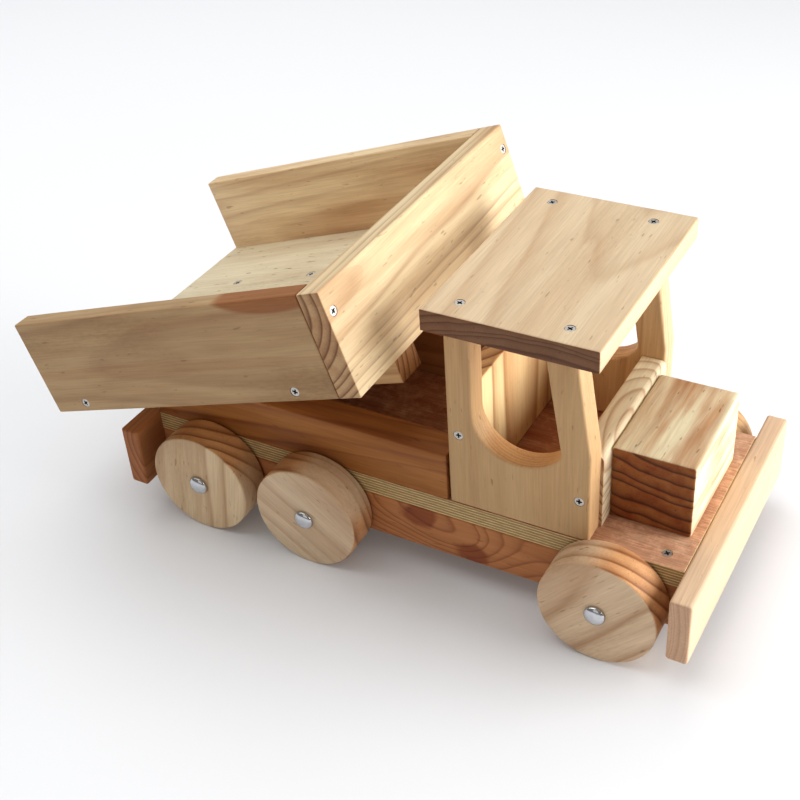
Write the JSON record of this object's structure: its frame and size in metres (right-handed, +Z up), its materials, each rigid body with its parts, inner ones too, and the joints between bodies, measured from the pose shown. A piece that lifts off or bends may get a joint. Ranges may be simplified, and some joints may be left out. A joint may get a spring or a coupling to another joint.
{
  "type": "toy dump truck",
  "caption": "Solid pine toy dump truck: plywood deck on two beams, open cab with roof and hood block, tipping tray on a cross pin, and solid wheels with domed axle caps.",
  "frame": {"origin": "on the ground, at the middle of the bounding box of the truck with its tray tipped as drawn", "axes": "+X to the front of the truck, +Y to its left side, +Z up"},
  "size_m": [0.6084, 0.308, 0.3083],
  "materials": {
    "deck_plywood": "oiled, thin plies on the edges",
    "rail_pine": "oiled",
    "cab_pine": "oiled",
    "tray_pine": "oiled",
    "wheel_pine": "oiled",
    "hood_hardwood": "oiled",
    "screw_steel": "zinc plated",
    "axle_steel": "bright drawn",
    "cap_steel": "bright zinc"
  },
  "bodies": {
    "chassis": {"deck_board": "deck_plywood", "chassis_beam_right": "rail_pine", "chassis_beam_left": "rail_pine", "side_rail_right": "rail_pine", "side_rail_left": "rail_pine", "front_bumper": "cab_pine", "rear_bumper": "cab_pine", "hood_block": "hood_hardwood", "cab_side_right": "cab_pine", "cab_side_left": "cab_pine", "cab_back_panel": "cab_pine", "dash_board": "cab_pine", "cab_roof": "cab_pine", "axle_front": "axle_steel", "axle_middle": "axle_steel", "axle_rear": "axle_steel", "axle_washers": "axle_steel", "axle_caps": "cap_steel", "tray_pivot_pin": "axle_steel", "roof_screws": "screw_steel", "cab_side_screws": "screw_steel", "deck_screws": "screw_steel"},
    "tray": {"tray_floor": "tray_pine", "tray_side_right": "tray_pine", "tray_side_left": "tray_pine", "tray_headboard": "tray_pine", "tray_bearer_right": "tray_pine", "tray_bearer_left": "tray_pine", "headboard_screws": "screw_steel", "tray_side_screws": "screw_steel", "tray_floor_screws": "screw_steel"},
    "wheel_front_right": {"wheel_front_right": "wheel_pine"},
    "wheel_front_left": {"wheel_front_left": "wheel_pine"},
    "wheel_middle_right": {"wheel_middle_right": "wheel_pine"},
    "wheel_middle_left": {"wheel_middle_left": "wheel_pine"},
    "wheel_rear_right": {"wheel_rear_right": "wheel_pine"},
    "wheel_rear_left": {"wheel_rear_left": "wheel_pine"}
  },
  "joints": [
    {"name": "tray_tip", "type": "hinge", "parent": "chassis", "child": "tray", "pos_m": [-0.20179, 0, 0.1145], "axis": [0, -1, 0], "range_deg": [-19, 53]},
    {"name": "wheel_front_right_spin", "type": "hinge", "parent": "chassis", "child": "wheel_front_right", "pos_m": [0.22821, 0, 0.05], "axis": [0, 1, 0], "continuous": true},
    {"name": "wheel_front_left_spin", "type": "hinge", "parent": "chassis", "child": "wheel_front_left", "pos_m": [0.22821, 0, 0.05], "axis": [0, 1, 0], "continuous": true},
    {"name": "wheel_middle_right_spin", "type": "hinge", "parent": "chassis", "child": "wheel_middle_right", "pos_m": [-0.03979, 0, 0.05], "axis": [0, 1, 0], "continuous": true},
    {"name": "wheel_middle_left_spin", "type": "hinge", "parent": "chassis", "child": "wheel_middle_left", "pos_m": [-0.03979, 0, 0.05], "axis": [0, 1, 0], "continuous": true},
    {"name": "wheel_rear_right_spin", "type": "hinge", "parent": "chassis", "child": "wheel_rear_right", "pos_m": [-0.15179, 0, 0.05], "axis": [0, 1, 0], "continuous": true},
    {"name": "wheel_rear_left_spin", "type": "hinge", "parent": "chassis", "child": "wheel_rear_left", "pos_m": [-0.15179, 0, 0.05], "axis": [0, 1, 0], "continuous": true}
  ]
}
